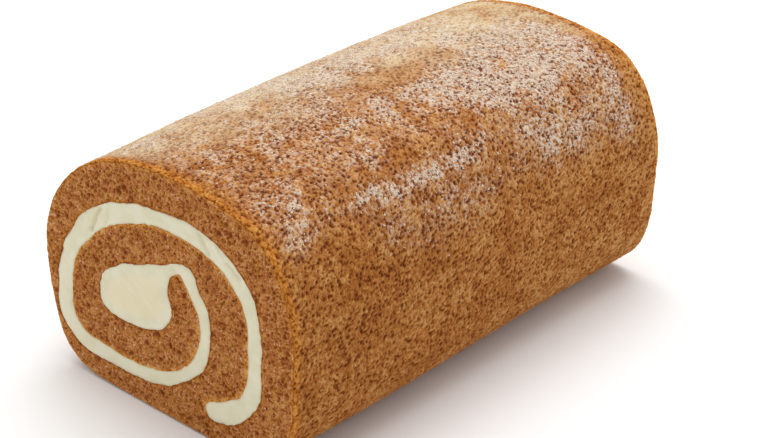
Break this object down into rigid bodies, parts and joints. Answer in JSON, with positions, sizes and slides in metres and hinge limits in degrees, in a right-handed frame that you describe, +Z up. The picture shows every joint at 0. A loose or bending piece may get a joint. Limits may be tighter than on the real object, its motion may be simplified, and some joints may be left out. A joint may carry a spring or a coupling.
{
  "type": "swiss roll cake",
  "caption": "Whole swiss roll cake: a log of porous brown sponge rolled round a pale cream filling, with the swirl showing at both cut ends.",
  "frame": {"origin": "middle of the flat underside", "axes": "+Y along the roll towards its back end, +Z up, +X to the right seen from the front end"},
  "size_m": [0.1174, 0.18, 0.091],
  "materials": {
    "sponge": "porous baked crumb",
    "cream_filling": "smooth spread cream"
  },
  "bodies": {
    "root": {"sponge": "sponge", "cream_filling": "cream_filling"}
  },
  "joints": []
}
